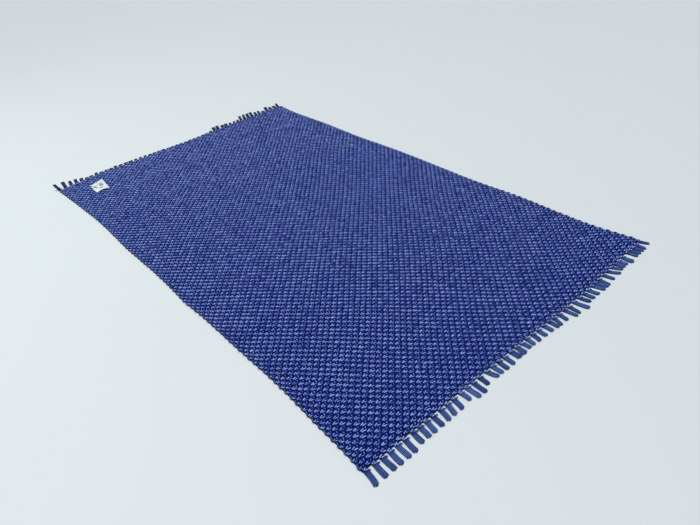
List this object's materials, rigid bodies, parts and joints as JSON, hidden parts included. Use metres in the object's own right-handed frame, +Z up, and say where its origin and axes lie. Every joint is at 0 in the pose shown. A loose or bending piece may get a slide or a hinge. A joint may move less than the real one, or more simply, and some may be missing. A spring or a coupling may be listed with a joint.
{
  "type": "outdoor rug",
  "caption": "Rectangular flat-woven outdoor rug in a chunky plain weave, lying flat, with a loose fringe at both short ends and a small sewn care label.",
  "frame": {"origin": "middle of the rug's footprint, fringes included, on the surface that it lies on", "axes": "+Y runs along the rug from the near fringe to the far fringe, +X runs across it, +Z is up"},
  "size_m": [1.5465, 2.6513, 0.035],
  "materials": {
    "cloth_yarn": "thick soft-sheen synthetic yarn, plain weave, mid blue over navy gaps",
    "near_fringe_yarn": "loose warp yarn, clearer blue than the cloth",
    "far_fringe_yarn": "loose warp yarn, darker and greyer where it stands up",
    "label_cloth": "thin white woven label cloth, left without lettering"
  },
  "bodies": {
    "root": {"rug_cloth": "cloth_yarn", "fringe_near": "near_fringe_yarn", "fringe_far": "far_fringe_yarn", "care_label": "label_cloth"}
  },
  "joints": []
}
